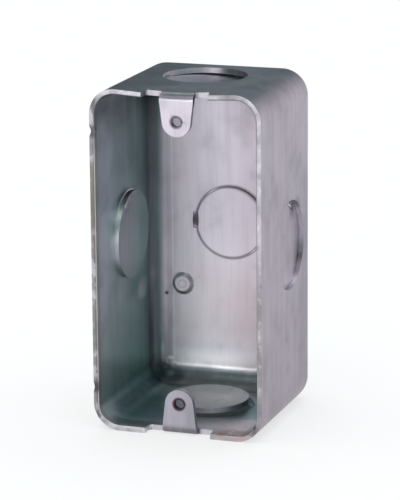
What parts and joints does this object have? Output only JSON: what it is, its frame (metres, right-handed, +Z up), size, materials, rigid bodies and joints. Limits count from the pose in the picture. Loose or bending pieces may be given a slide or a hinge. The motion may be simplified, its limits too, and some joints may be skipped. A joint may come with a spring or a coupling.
{
  "type": "mounting box",
  "caption": "Pressed steel wiring box, drawn from one sheet, open at the front, with folded screw ears for a switch or socket and round knockouts for conduit in its walls and back.",
  "frame": {"origin": "middle of the box's plan, on the surface that its lower end wall stands on", "axes": "+Z up along the box's long side, -Y out of the open mouth, +X to the right seen from the mouth"},
  "size_m": [0.0516, 0.0514, 0.1016],
  "materials": {
    "galvanised_steel": "zinc-coated sheet, dull and lightly worn, bright on the rim and ears"
  },
  "bodies": {
    "root": {"drawn_box": "galvanised_steel"}
  },
  "joints": []
}
